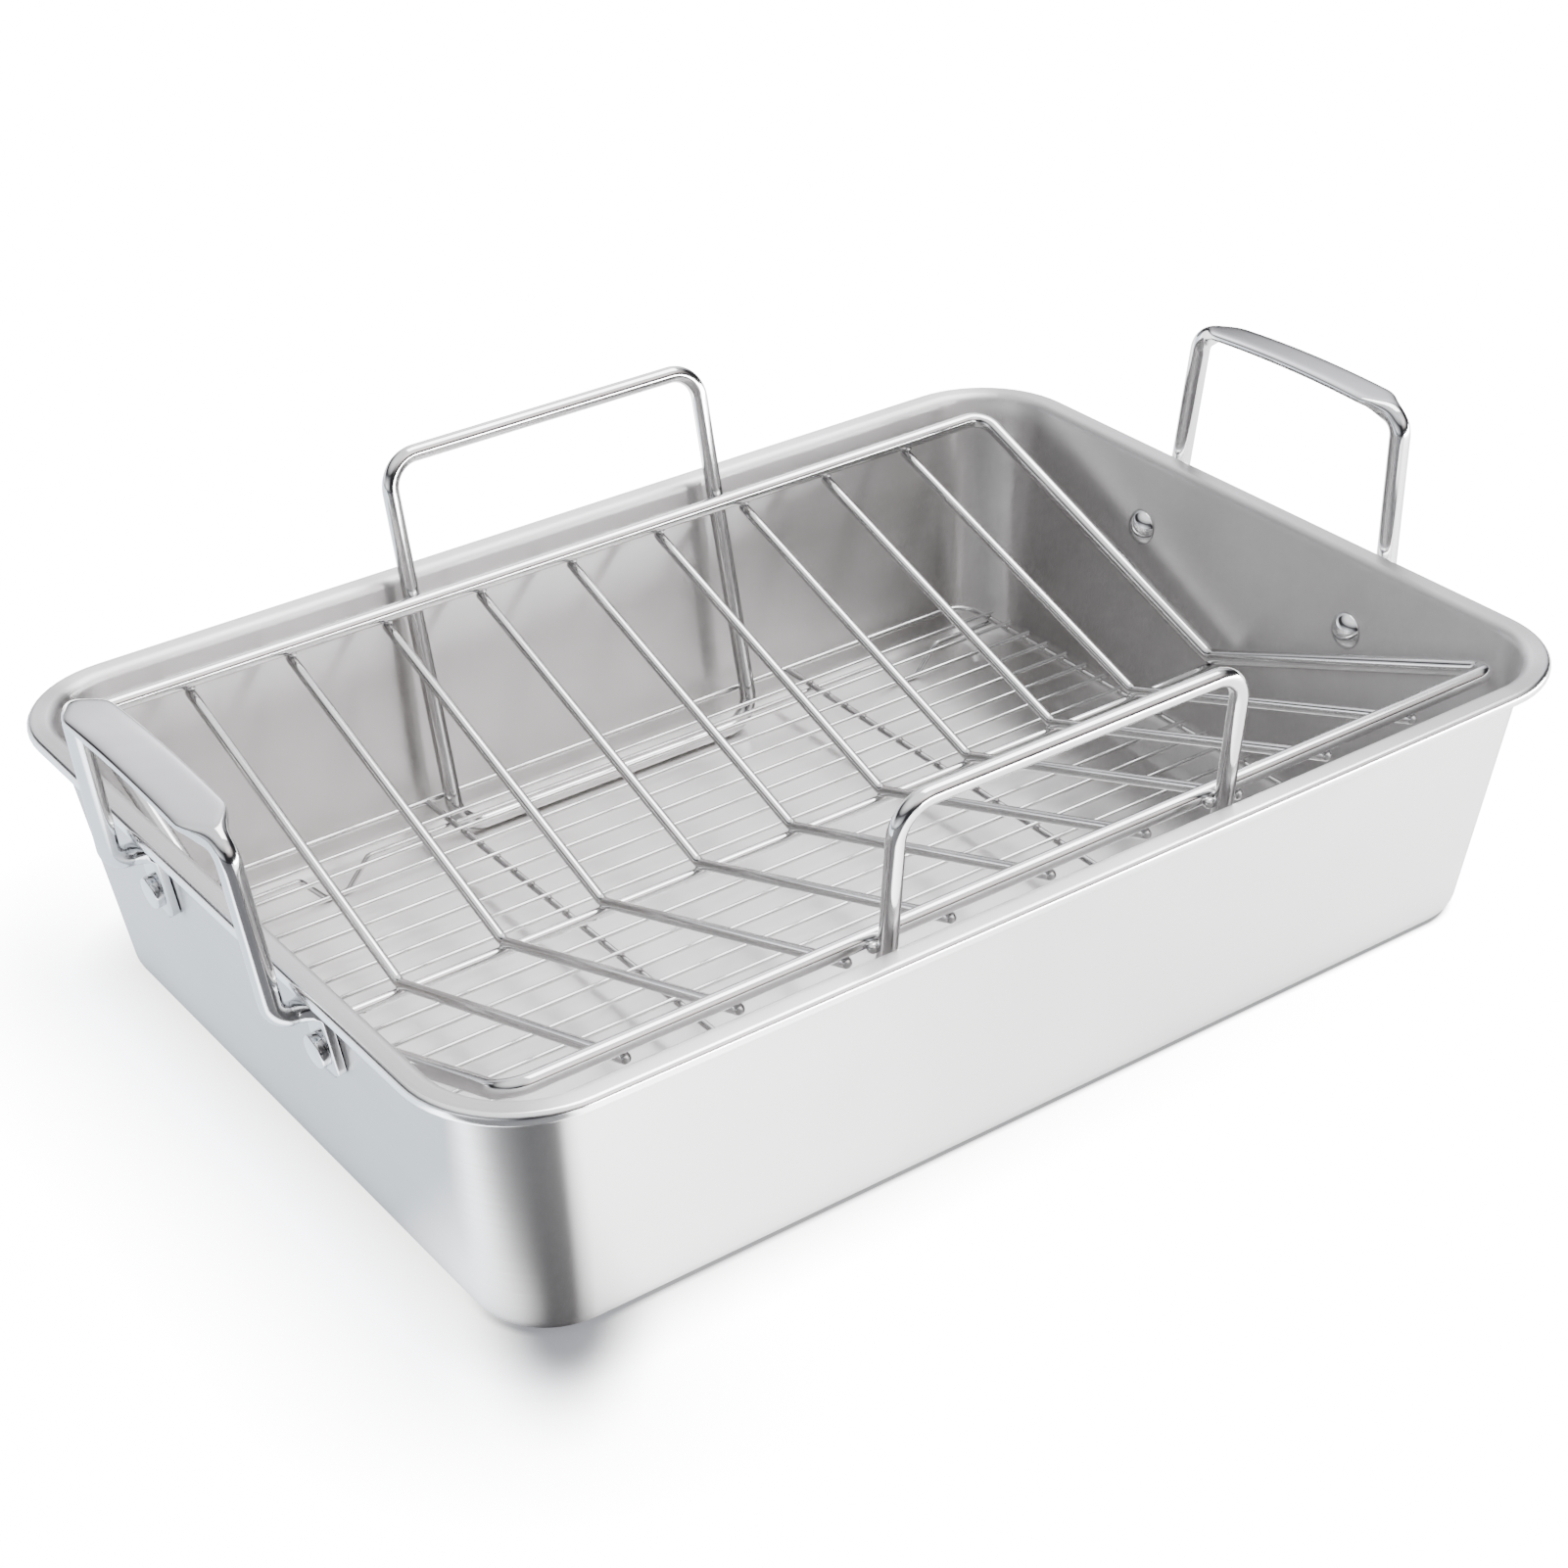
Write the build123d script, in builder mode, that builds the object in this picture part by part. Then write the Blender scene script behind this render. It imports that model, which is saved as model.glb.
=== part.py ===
from build123d import *
import math
import os

os.makedirs("parts", exist_ok=True)

# Roasting pan with a lift-out V rack over a flat rack.
# Origin at the middle of the pan's underside, X along the long side, Z up, millimetres.

# Pan sheet
rim_length = 410.0
rim_width = 298.0
rim_corner = 37.0
pan_height = 92.0
sheet = 1.0
rim_overhang = 8.0
rim_depth = 4.4
rim_roll = 2.4
hem_width = 3.2
hem_roll = 1.0
wall_lean = 12.5
base_corner = 24.0
floor_radius = 7.0

# Pan handles
rod = 7.0
leg_gap = 1.2
leg_lean = 6.0
grip_rise = 44.5
grip_width = 15.4
grip_thick = 3.6
grip_arch = 2.0
grip_shoulder = 0.2
grip_inset = 1.0
handle_reach = 48.0
leg_spread = 3.5
low_bend = 6.0
top_bend = 7.0
hook_drop = 7.2

# Handle tabs and rivets
tab_width = 12.4
tab_thick = 3.4
tab_corner = 2.4
tab_below = 9.0
rivet_drop = 26.0
shank = 5.0
inner_head = 13.0
inner_dome = 3.8
outer_head = 10.6
outer_head_thick = 2.9
outer_head_edge = 0.8

# V rack
rail_wire = 5.6
rib_wire = 3.6
loop_wire = 5.8
rack_end_gap = 15.5
rail_side_gap = 13.8
rail_drop = 4.6
valley_clear = 20.0
rail_bend = 8.0
rib_bend = 6.0
rib_count = 9
rib_overrun = 0.3
rack_shift = -0.9
loop_width = 124.0
loop_skew = 1.3
loop_rise = 41.5
loop_lean = 12.2
near_head_lean = 6.4
far_head_lean = 11.5
loop_bend = 11.0

# Flat rack
edge_wire = 2.4
grid_wire = 1.6
foot_wire = 2.0
flat_end_gap = 24.9
flat_side_gap = 6.0
flat_corner = 10.0
flat_shift = 8.0
edge_lane = 15.4
grid_count = 21
grid_overhang = 0.5
foot_end = 38.6
foot_mouth = 26.0
foot_tread = 8.0
foot_drop = 10.4
foot_bend = 2.6

# Fits
rest_gap = 0.3
weld_gap = 0.05
pass_gap = 0.65
cut_overrun = 4.0

# Pan sizes that follow from the rim and the lean of the walls
wall_top = pan_height - rim_depth
wall_length = rim_length - 2 * rim_overhang
wall_width = rim_width - 2 * rim_overhang
wall_corner = rim_corner - rim_overhang
base_length = wall_length - 2 * wall_lean
base_width = wall_width - 2 * wall_lean
wall_slope = wall_lean / wall_top
wall_wide = sheet * math.hypot(1, wall_slope)
floor_inset = wall_wide - sheet * wall_slope
rivet_height = pan_height - rivet_drop
grip_height = pan_height + grip_rise
grip_half = handle_reach - top_bend - grip_inset

# Rack sizes that follow from the pan they lie in
rack_length = wall_length - 2 * rack_end_gap
rail_spacing = wall_width - 2 * rail_side_gap
rail_height = pan_height - rail_drop
loop_top = pan_height + loop_rise
rib_pitch = rack_length / (rib_count + 1)
flat_length = base_length - 2 * flat_end_gap
flat_width = base_width - 2 * flat_side_gap
foot_line = flat_width / 2 - edge_lane
foot_spacing = flat_length - 2 * foot_end
grid_pitch = 2 * foot_line / (grid_count - 1)
cross_spacing = loop_width + loop_wire + edge_wire + 2 * (flat_shift + loop_skew + pass_gap)


def wall_half(height):
    """Distance from the middle to a short wall's outer face at a height."""
    return base_length / 2 + wall_slope * height


def wall_plane(side):
    """Plane on a short wall's outer face at rivet height, Z outward and Y up the wall."""
    origin = (side * wall_half(rivet_height), 0, rivet_height)
    return Plane(origin=origin, x_dir=(0, side, 0), z_dir=(side, 0, -wall_slope))


# Rivet places, measured across the short walls
rivet_reach = handle_reach + leg_spread

# Hollow of the pan, down to the floor sheet
with BuildPart() as hollow:
    with BuildSketch(Plane.XY.offset(sheet)) as hollow_floor:
        RectangleRounded(base_length - 2 * floor_inset, base_width - 2 * floor_inset, base_corner - floor_inset)
    with BuildSketch(Plane.XY.offset(wall_top)) as hollow_mouth:
        RectangleRounded(wall_length - 2 * wall_wide, wall_width - 2 * wall_wide, wall_corner - wall_wide)
    loft()
    fillet(hollow.faces().sort_by(Axis.Z)[0].edges(), floor_radius - sheet)

# Drawn pan body: leaning walls, rounded floor edge, rolled flat rim
with BuildPart() as pan_body:
    with BuildSketch() as base_outline:
        RectangleRounded(base_length, base_width, base_corner)
    with BuildSketch(Plane.XY.offset(wall_top)) as wall_outline:
        RectangleRounded(wall_length, wall_width, wall_corner)
    loft()
    fillet(pan_body.faces().sort_by(Axis.Z)[0].edges(), floor_radius)
    add(hollow.part, mode=Mode.SUBTRACT)
    with BuildLine(Plane.XY.offset(pan_height)) as rim_path:
        FilletPolyline(
            (-rim_length / 2, -rim_width / 2),
            (rim_length / 2, -rim_width / 2),
            (rim_length / 2, rim_width / 2),
            (-rim_length / 2, rim_width / 2),
            radius=rim_corner,
            close=True,
        )
    rim_start = Plane(origin=(0, -rim_width / 2, pan_height), x_dir=(0, 1, 0), z_dir=(1, 0, 0))
    flange_foot = rim_overhang - wall_slope * (rim_depth - sheet)
    flange_inner = rim_overhang + wall_wide - wall_slope * rim_depth
    with BuildSketch(rim_start) as rim_profile:
        with BuildLine() as rim_outline:
            Polyline(
                (rim_overhang, -rim_depth),
                (flange_foot, -sheet),
                (sheet, -sheet),
                (sheet, sheet - rim_depth),
                (hem_width, sheet - rim_depth),
                (hem_width, -rim_depth),
                (0, -rim_depth),
                (0, 0),
                (flange_inner, 0),
                (rim_overhang + wall_wide, -rim_depth),
                close=True,
            )
        make_face()
        corners = rim_profile.vertices()
        throat = corners.sort_by_distance((0, -rim_width / 2 + flange_foot, pan_height - sheet))[0]
        mouth = corners.sort_by_distance((0, -rim_width / 2 + flange_inner, pan_height))[0]
        outer_top = corners.sort_by_distance((0, -rim_width / 2, pan_height))[0]
        outer_low = corners.sort_by_distance((0, -rim_width / 2, wall_top))[0]
        inner_top = corners.sort_by_distance((0, -rim_width / 2 + sheet, pan_height - sheet))[0]
        inner_low = corners.sort_by_distance((0, -rim_width / 2 + sheet, wall_top + sheet))[0]
        fillet(throat, rim_roll)
        fillet(mouth, rim_roll + sheet)
        fillet([outer_top, outer_low], hem_roll + sheet)
        fillet([inner_top, inner_low], hem_roll)
    sweep(path=rim_path.wires()[0])
    for side in (-1, 1):
        with BuildSketch(wall_plane(side)) as rivet_holes:
            with Locations((-rivet_reach, 0), (rivet_reach, 0)):
                Circle(shank / 2)
        extrude(amount=cut_overrun, both=True, mode=Mode.SUBTRACT)

pan_body.part.label = "pan_body"
export_step(pan_body.part, "parts/pan_body.step")

# Pan handles: round rod, hooked under the rim, with the grip forged flat and tabs for the rivets
hook_height = wall_top - hook_drop
hook_start = wall_half(hook_height) + tab_thick / 2
leg_low = rim_length / 2 + leg_gap + rod / 2
leg_top = leg_low + leg_lean
tab_above = hook_height + rod / 2 - rivet_height
tab_length = tab_below + tab_above
grip_root = rod + grip_shoulder
grip_station_shares = (0, 0.5, 0.75, 0.87, 0.95, 1)
grip_flat_shares = (1, 1, 0.97, 0.82, 0.4, 0)
round_share = 0.49

for side, side_name in ((-1, "left"), (1, "right")):
    with BuildPart() as handle:
        with BuildLine() as leg_path:
            FilletPolyline(
                (side * hook_start, rivet_reach, hook_height),
                (side * leg_low, rivet_reach, hook_height),
                (side * leg_top, handle_reach, grip_height),
                (side * leg_top, grip_half, grip_height),
                radius=(low_bend, top_bend),
            )
        leg_wire = leg_path.wires()[0]
        with BuildSketch(Plane(origin=leg_wire @ 0, z_dir=leg_wire % 0)) as leg_section:
            Circle(rod / 2)
        sweep(path=leg_wire)
        with BuildSketch(wall_plane(side)) as tab_outline:
            with Locations((side * rivet_reach, (tab_above - tab_below) / 2)):
                RectangleRounded(tab_width, tab_length, tab_corner)
            with Locations((side * rivet_reach, 0)):
                Circle(shank / 2, mode=Mode.SUBTRACT)
        extrude(amount=tab_thick)
        mirror(about=Plane.XZ)
        tilt = leg_lean / (grip_height - hook_height)
        stations = [-share for share in reversed(grip_station_shares[1:])] + list(grip_station_shares)
        flats = list(reversed(grip_flat_shares[1:])) + list(grip_flat_shares)
        for station, flat in zip(stations, flats):
            section_width = grip_root + (grip_width - grip_root) * flat
            section_thick = grip_root + (grip_thick - grip_root) * flat
            section_rise = grip_arch * (1 - station**2) + (rod - section_thick) / 2
            section_origin = (side * leg_top, station * grip_half, grip_height + section_rise)
            section_plane = Plane(origin=section_origin, x_dir=(1, 0, -side * tilt), z_dir=(0, 1, 0))
            with BuildSketch(section_plane) as grip_section:
                RectangleRounded(section_width, section_thick, round_share * section_thick)
        loft()

    handle.part.label = side_name + "_handle"
    export_step(handle.part, "parts/" + side_name + "_handle.step")

# Rivets: domed head inside the pan, thick button head outside, shank through wall and tab
dome_radius = (inner_head**2 / 4 + inner_dome**2) / (2 * inner_dome)
dome_turn = math.degrees(math.asin(inner_head / 2 / dome_radius))
button_top = tab_thick + outer_head_thick

with BuildPart() as handle_rivets:
    for side in (-1, 1):
        for row in (-1, 1):
            outward = wall_plane(side).z_dir
            rivet_centre = wall_plane(side).origin + Vector(0, row * rivet_reach, 0)
            with BuildSketch(Plane(origin=rivet_centre, x_dir=outward, z_dir=(0, 1, 0))) as rivet_half:
                with BuildLine() as rivet_outline:
                    dome = JernArc((-sheet - inner_dome, 0), (0, 1), dome_radius, -dome_turn)
                    Polyline(
                        dome @ 1,
                        (-sheet, shank / 2),
                        (tab_thick, shank / 2),
                        (tab_thick, outer_head / 2),
                        (button_top - outer_head_edge, outer_head / 2),
                        (button_top, outer_head / 2 - outer_head_edge),
                        (button_top, 0),
                        dome @ 0,
                    )
                make_face()
            revolve(axis=Axis(rivet_centre, outward))

handle_rivets.part.label = "handle_rivets"
export_step(handle_rivets.part, "parts/handle_rivets.step")

# Flat rack heights, built up from the feet on the pan's floor
foot_low = sheet + rest_gap + foot_wire / 2
foot_high = foot_low + foot_drop
edge_height = foot_high + foot_wire / 2 + edge_wire / 2 + weld_gap
grid_height = edge_height + edge_wire / 2 + grid_wire / 2 + weld_gap

# V rack heights: the ribs touch the rails from below, rest on the spine and clear the flat rack
rail_line = rail_spacing / 2
rib_low = grid_height + grid_wire / 2 + valley_clear
rib_fall = rail_height - rib_low
rib_touch = rail_wire / 2 + rib_wire / 2 + weld_gap
valley = math.acos(rib_touch / math.hypot(rib_fall, rail_line)) - math.atan2(rail_line, rib_fall)
rib_seat = rib_low + rib_bend * (1 / math.cos(valley) - 1)
spine_height = rib_seat - rib_wire - weld_gap
end_seat = spine_height + rib_wire / 2 + rail_wire / 2 + weld_gap
end_slope = math.atan((rail_height - end_seat) / rail_line)
end_low = end_seat - rail_bend * (1 / math.cos(end_slope) - 1)

# Rack frame: two rails and two V-bent ends in one closed wire, bent as two like halves
with BuildPart() as rack_frame:
    with BuildLine() as frame_path:
        FilletPolyline(
            (rack_shift, -rail_line, rail_height),
            (rack_shift + rack_length / 2, -rail_line, rail_height),
            (rack_shift + rack_length / 2, 0, end_low),
            (rack_shift + rack_length / 2, rail_line, rail_height),
            (rack_shift, rail_line, rail_height),
            radius=rail_bend,
        )
    frame_start = Plane(origin=(rack_shift, -rail_line, rail_height), z_dir=(1, 0, 0))
    with BuildSketch(frame_start) as frame_section:
        Circle(rail_wire / 2)
    sweep(path=frame_path.wires()[0])
    mirror(about=Plane.YZ.offset(rack_shift))

rack_frame.part.label = "rack_frame"
export_step(rack_frame.part, "parts/rack_frame.step")

# Spine under the ribs' valley, from end bar to end bar
spine_length = rack_length + rail_wire
spine_start = Plane(origin=(rack_shift - spine_length / 2, 0, spine_height), z_dir=(1, 0, 0))
with BuildPart() as rack_spine:
    with BuildSketch(spine_start) as spine_section:
        Circle(rib_wire / 2)
    extrude(amount=spine_length)

rack_spine.part.label = "rack_spine"
export_step(rack_spine.part, "parts/rack_spine.step")

# V ribs with ball ends that show just past the rails
rib_end = rail_line + rib_overrun
rib_high = rib_low + rib_end * math.tan(valley)
for number in range(rib_count):
    rib_place = rack_shift + (number - (rib_count - 1) / 2) * rib_pitch
    with BuildPart() as rib:
        with BuildLine() as rib_path:
            FilletPolyline(
                (rib_place, -rib_end, rib_high),
                (rib_place, 0, rib_low),
                (rib_place, rib_end, rib_high),
                radius=rib_bend,
            )
        rib_line = rib_path.wires()[0]
        with BuildSketch(Plane(origin=rib_line @ 0, z_dir=rib_line % 0)) as rib_section:
            Circle(rib_wire / 2)
        sweep(path=rib_line)
        with Locations((rib_place, -rib_end, rib_high), (rib_place, rib_end, rib_high)):
            Sphere(rib_wire / 2)

    rib_name = "rack_rib_" + str(number + 1)
    rib.part.label = rib_name
    export_step(rib.part, "parts/" + rib_name + ".step")

# Carrying loops: the upper part is the rack's handle, the lower part its stand on the pan's floor.
# Each is bent again where it passes its rail, and the two stand a little askew of each other.
loop_low = sheet + rest_gap + loop_wire / 2
lean = math.radians(loop_lean)
loop_at_rail = rail_line + (rail_wire / 2 + loop_wire / 2 + weld_gap) / math.cos(lean)
loop_foot = loop_at_rail - (rail_height - loop_low) * math.tan(lean)
for side, side_name, head_lean in ((-1, "near", near_head_lean), (1, "far", far_head_lean)):
    loop_head = loop_at_rail + (loop_top - rail_height) * math.tan(math.radians(head_lean))
    loop_middle = side * loop_skew
    loop_leg = loop_middle + loop_width / 2
    loop_start = Plane(origin=(loop_middle, side * loop_foot, loop_low), z_dir=(1, 0, 0))
    with BuildPart() as loop:
        with BuildLine() as loop_path:
            FilletPolyline(
                (loop_middle, side * loop_foot, loop_low),
                (loop_leg, side * loop_foot, loop_low),
                (loop_leg, side * loop_at_rail, rail_height),
                (loop_leg, side * loop_head, loop_top),
                (loop_middle, side * loop_head, loop_top),
                radius=loop_bend,
            )
        with BuildSketch(loop_start) as loop_section:
            Circle(loop_wire / 2)
        sweep(path=loop_path.wires()[0])
        mirror(about=Plane.YZ.offset(loop_middle))

    loop.part.label = "rack_loop_" + side_name
    export_step(loop.part, "parts/rack_loop_" + side_name + ".step")

# Edge wire with rounded corners, bent as two like halves
with BuildPart() as flat_edge:
    with BuildLine(Plane.XY.offset(edge_height)) as edge_path:
        FilletPolyline(
            (flat_shift, -flat_width / 2),
            (flat_shift + flat_length / 2, -flat_width / 2),
            (flat_shift + flat_length / 2, flat_width / 2),
            (flat_shift, flat_width / 2),
            radius=flat_corner,
        )
    with BuildSketch(Plane(origin=(flat_shift, -flat_width / 2, edge_height), z_dir=(1, 0, 0))) as edge_section:
        Circle(edge_wire / 2)
    sweep(path=edge_path.wires()[0])
    mirror(about=Plane.YZ.offset(flat_shift))

flat_edge.part.label = "flat_edge"
export_step(flat_edge.part, "parts/flat_edge.step")

# Grid wires along the rack, lying over the edge wire's ends and the cross wires
grid_length = flat_length + edge_wire + 2 * grid_overhang
for number in range(grid_count):
    grid_place = (number - (grid_count - 1) / 2) * grid_pitch
    grid_start = Plane(origin=(flat_shift - grid_length / 2, grid_place, grid_height), z_dir=(1, 0, 0))
    with BuildPart() as grid:
        with BuildSketch(grid_start) as grid_section:
            Circle(grid_wire / 2)
        extrude(amount=grid_length)

    grid_name = "flat_wire_" + str(number + 1).zfill(2)
    grid.part.label = grid_name
    export_step(grid.part, "parts/" + grid_name + ".step")

# Cross wires between the long edges, under the grid wires
cross_length = flat_width - edge_wire - 2 * weld_gap
for side, side_name in ((-1, "left"), (1, "right")):
    cross_origin = (flat_shift + side * cross_spacing / 2, -cross_length / 2, edge_height)
    with BuildPart() as cross:
        with BuildSketch(Plane(origin=cross_origin, z_dir=(0, 1, 0))) as cross_section:
            Circle(edge_wire / 2)
        extrude(amount=cross_length)

    cross.part.label = "flat_cross_" + side_name
    export_step(cross.part, "parts/flat_cross_" + side_name + ".step")

# Foot wires: straight under the grid, dipped twice to stand on the pan's floor
foot_dip = foot_spacing / 2
for side, side_name in ((-1, "near"), (1, "far")):
    foot_y = side * foot_line
    with BuildPart() as foot:
        with BuildLine() as foot_path:
            FilletPolyline(
                (flat_shift, foot_y, foot_high),
                (flat_shift + foot_dip - foot_mouth / 2, foot_y, foot_high),
                (flat_shift + foot_dip - foot_tread / 2, foot_y, foot_low),
                (flat_shift + foot_dip + foot_tread / 2, foot_y, foot_low),
                (flat_shift + foot_dip + foot_mouth / 2, foot_y, foot_high),
                (flat_shift + flat_length / 2 + edge_wire / 2, foot_y, foot_high),
                radius=foot_bend,
            )
        with BuildSketch(Plane(origin=(flat_shift, foot_y, foot_high), z_dir=(1, 0, 0))) as foot_section:
            Circle(foot_wire / 2)
        sweep(path=foot_path.wires()[0])
        mirror(about=Plane.YZ.offset(flat_shift))

    foot.part.label = "flat_foot_" + side_name
    export_step(foot.part, "parts/flat_foot_" + side_name + ".step")
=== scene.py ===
import math

import bpy
from mathutils import Matrix, Vector


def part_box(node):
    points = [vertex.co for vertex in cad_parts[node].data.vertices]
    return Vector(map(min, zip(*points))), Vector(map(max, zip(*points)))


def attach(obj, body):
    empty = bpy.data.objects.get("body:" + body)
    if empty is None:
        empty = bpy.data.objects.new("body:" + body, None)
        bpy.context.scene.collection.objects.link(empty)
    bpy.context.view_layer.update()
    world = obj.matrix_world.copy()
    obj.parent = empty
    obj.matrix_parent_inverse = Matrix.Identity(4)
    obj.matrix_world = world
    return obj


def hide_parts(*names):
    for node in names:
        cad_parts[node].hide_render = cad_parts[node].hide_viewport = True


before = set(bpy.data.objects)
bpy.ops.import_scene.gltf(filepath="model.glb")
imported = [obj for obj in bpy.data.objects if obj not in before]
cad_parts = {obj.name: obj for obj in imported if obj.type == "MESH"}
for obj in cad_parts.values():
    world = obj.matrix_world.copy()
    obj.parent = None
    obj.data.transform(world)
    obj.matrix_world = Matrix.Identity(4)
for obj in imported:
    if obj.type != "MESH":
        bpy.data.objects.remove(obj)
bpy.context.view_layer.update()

mm = 0.001
print("frame loaded:", len(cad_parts), "nodes")


# Materials

def addNode(tree, kind, **values):
    node = tree.nodes.new(kind)
    for name, value in values.items():
        if hasattr(node, name):
            setattr(node, name, value)
        else:
            node.inputs[name].default_value = value
    return node


def feed(tree, socket, value):
    # a socket takes either another node's output or a plain value
    if isinstance(value, bpy.types.NodeSocket):
        tree.links.new(value, socket)
    else:
        socket.default_value = value


def calc(tree, operation, *values):
    node = addNode(tree, "ShaderNodeMath", operation=operation)
    for socket, value in zip(node.inputs, values):
        feed(tree, socket, value)
    return node.outputs["Value"]


def mixed(tree, share, first, second):
    # colours, each a plain tone or another node's output
    node = addNode(tree, "ShaderNodeMix", data_type="RGBA")
    feed(tree, node.inputs["Factor"], share)
    for name, tone in (("A", first), ("B", second)):
        feed(tree, node.inputs[name], tone if isinstance(tone, bpy.types.NodeSocket) else (*tone, 1))
    return node.outputs["Result"]


def fade(tree, source, limits, results=(0, 1), kind="LINEAR"):
    # the first result at the first limit, the second at the second
    node = addNode(tree, "ShaderNodeMapRange", interpolation_type=kind)
    for side, limit, result in zip(("Min", "Max"), limits, results):
        node.inputs["From " + side].default_value = limit
        node.inputs["To " + side].default_value = result
    tree.links.new(source, node.inputs["Value"])
    return node.outputs["Result"]


noiseSpan = (0.35, 0.65)  # where most of a noise's values lie


def steel(name, look):
    material = bpy.data.materials.new(name)
    material.use_nodes = True
    tree = material.node_tree
    shader = tree.nodes["Principled BSDF"]
    shader.inputs["Metallic"].default_value = 1.0
    shader.inputs["Anisotropic"].default_value = look["anisotropy"]
    # a quarter turn, so the highlight spreads across the brushed lines
    shader.inputs["Anisotropic Rotation"].default_value = 0.25
    grain = addNode(tree, "ShaderNodeTangent", direction_type="UV_MAP", uv_map="UVMap")
    tree.links.new(grain.outputs["Tangent"], shader.inputs["Tangent"])
    place = addNode(tree, "ShaderNodeTexCoord")

    # smudges and slow changes of tone, on Object coordinates
    cloud = addNode(tree, "ShaderNodeTexNoise", Scale=look["cloudScale"], Detail=3.0)
    tree.links.new(place.outputs["Object"], cloud.inputs["Vector"])
    tone = mixed(tree, fade(tree, cloud.outputs["Fac"], noiseSpan), look["darkTone"], look["lightTone"])
    tree.links.new(tone, shader.inputs["Base Color"])

    # fine drawn or brushed lines that run along the piece's own UV map
    stretch = addNode(tree, "ShaderNodeMapping")
    stretch.inputs["Scale"].default_value = (look["lineAlong"], look["lineAcross"], 1)
    tree.links.new(place.outputs["UV"], stretch.inputs["Vector"])
    lines = addNode(tree, "ShaderNodeTexNoise", Scale=1.0, Detail=4.0, Roughness=0.6)
    tree.links.new(stretch.outputs["Vector"], lines.inputs["Vector"])
    roughness = fade(tree, lines.outputs["Fac"], noiseSpan, (look["smooth"], look["rough"]))
    tree.links.new(roughness, shader.inputs["Roughness"])

    # slow waves in the surface, with the fine lines on top
    waves = addNode(tree, "ShaderNodeTexNoise", Scale=look["waveScale"], Detail=1.0)
    tree.links.new(place.outputs["Object"], waves.inputs["Vector"])
    slow = addNode(tree, "ShaderNodeBump", Strength=look["waveStrength"], Distance=look["waveDepth"])
    tree.links.new(waves.outputs["Fac"], slow.inputs["Height"])
    fine = addNode(tree, "ShaderNodeBump", Strength=look["lineStrength"], Distance=look["lineDepth"])
    tree.links.new(lines.outputs["Fac"], fine.inputs["Height"])
    tree.links.new(slow.outputs["Normal"], fine.inputs["Normal"])
    tree.links.new(fine.outputs["Normal"], shader.inputs["Normal"])
    return material


satinSteel = steel("satinSteel", {
    "lightTone": (0.645, 0.633, 0.63), "darkTone": (0.585, 0.571, 0.567), "cloudScale": 9.0,
    "lineAlong": 12.0, "lineAcross": 2600.0, "lineStrength": 0.12, "lineDepth": 0.00004,
    "smooth": 0.28, "rough": 0.36, "anisotropy": 1.0,
    "waveScale": 7.0, "waveStrength": 0.25, "waveDepth": 0.0015,
})
# a brighter, smoother copy of the pan's steel: a painted highlight for its rolled edge
rimHighlightSteel = steel("rimHighlightSteel", {
    "lightTone": (0.9, 0.9, 0.905), "darkTone": (0.84, 0.84, 0.845), "cloudScale": 9.0,
    "lineAlong": 12.0, "lineAcross": 2600.0, "lineStrength": 0.05, "lineDepth": 0.00004,
    "smooth": 0.16, "rough": 0.22, "anisotropy": 0.0,
    "waveScale": 7.0, "waveStrength": 0.1, "waveDepth": 0.001,
})
forgedSteel = steel("forgedSteel", {
    "lightTone": (0.66, 0.66, 0.67), "darkTone": (0.58, 0.58, 0.59), "cloudScale": 30.0,
    "lineAlong": 60.0, "lineAcross": 3000.0, "lineStrength": 0.03, "lineDepth": 0.00003,
    "smooth": 0.08, "rough": 0.13, "anisotropy": 0.0,
    "waveScale": 30.0, "waveStrength": 0.05, "waveDepth": 0.0005,
})
polishedRivet = steel("polishedRivet", {
    "lightTone": (0.74, 0.74, 0.75), "darkTone": (0.66, 0.66, 0.67), "cloudScale": 60.0,
    "lineAlong": 500.0, "lineAcross": 500.0, "lineStrength": 0.03, "lineDepth": 0.00002,
    "smooth": 0.05, "rough": 0.12, "anisotropy": 0.0,
    "waveScale": 90.0, "waveStrength": 0.1, "waveDepth": 0.0003,
})
polishedWire = steel("polishedWire", {
    "lightTone": (0.74, 0.735, 0.735), "darkTone": (0.66, 0.655, 0.655), "cloudScale": 40.0,
    "lineAlong": 40.0, "lineAcross": 2500.0, "lineStrength": 0.02, "lineDepth": 0.00003,
    "smooth": 0.09, "rough": 0.14, "anisotropy": 0.0,
    "waveScale": 20.0, "waveStrength": 0.03, "waveDepth": 0.0004,
})
drawnWire = steel("drawnWire", {
    "lightTone": (0.7, 0.695, 0.695), "darkTone": (0.6, 0.595, 0.595), "cloudScale": 50.0,
    "lineAlong": 60.0, "lineAcross": 4000.0, "lineStrength": 0.05, "lineDepth": 0.00003,
    "smooth": 0.12, "rough": 0.20, "anisotropy": 0.0,
    "waveScale": 80.0, "waveStrength": 0.12, "waveDepth": 0.0003,
})


# Mesh helpers, all in millimetres until the mesh is made

def makePiece(name, points, faces, uvs, material):
    mesh = bpy.data.meshes.new(name)
    mesh.from_pydata([Vector(p) * mm for p in points], [], faces)
    layer = mesh.uv_layers.new(name="UVMap")
    for polygon in mesh.polygons:
        for corner, loop in enumerate(polygon.loop_indices):
            layer.data[loop].uv = uvs[polygon.index][corner]
        polygon.use_smooth = True
    mesh.materials.append(material)
    mesh.validate()
    piece = bpy.data.objects.new(name, mesh)
    bpy.context.scene.collection.objects.link(piece)
    return piece


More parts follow.
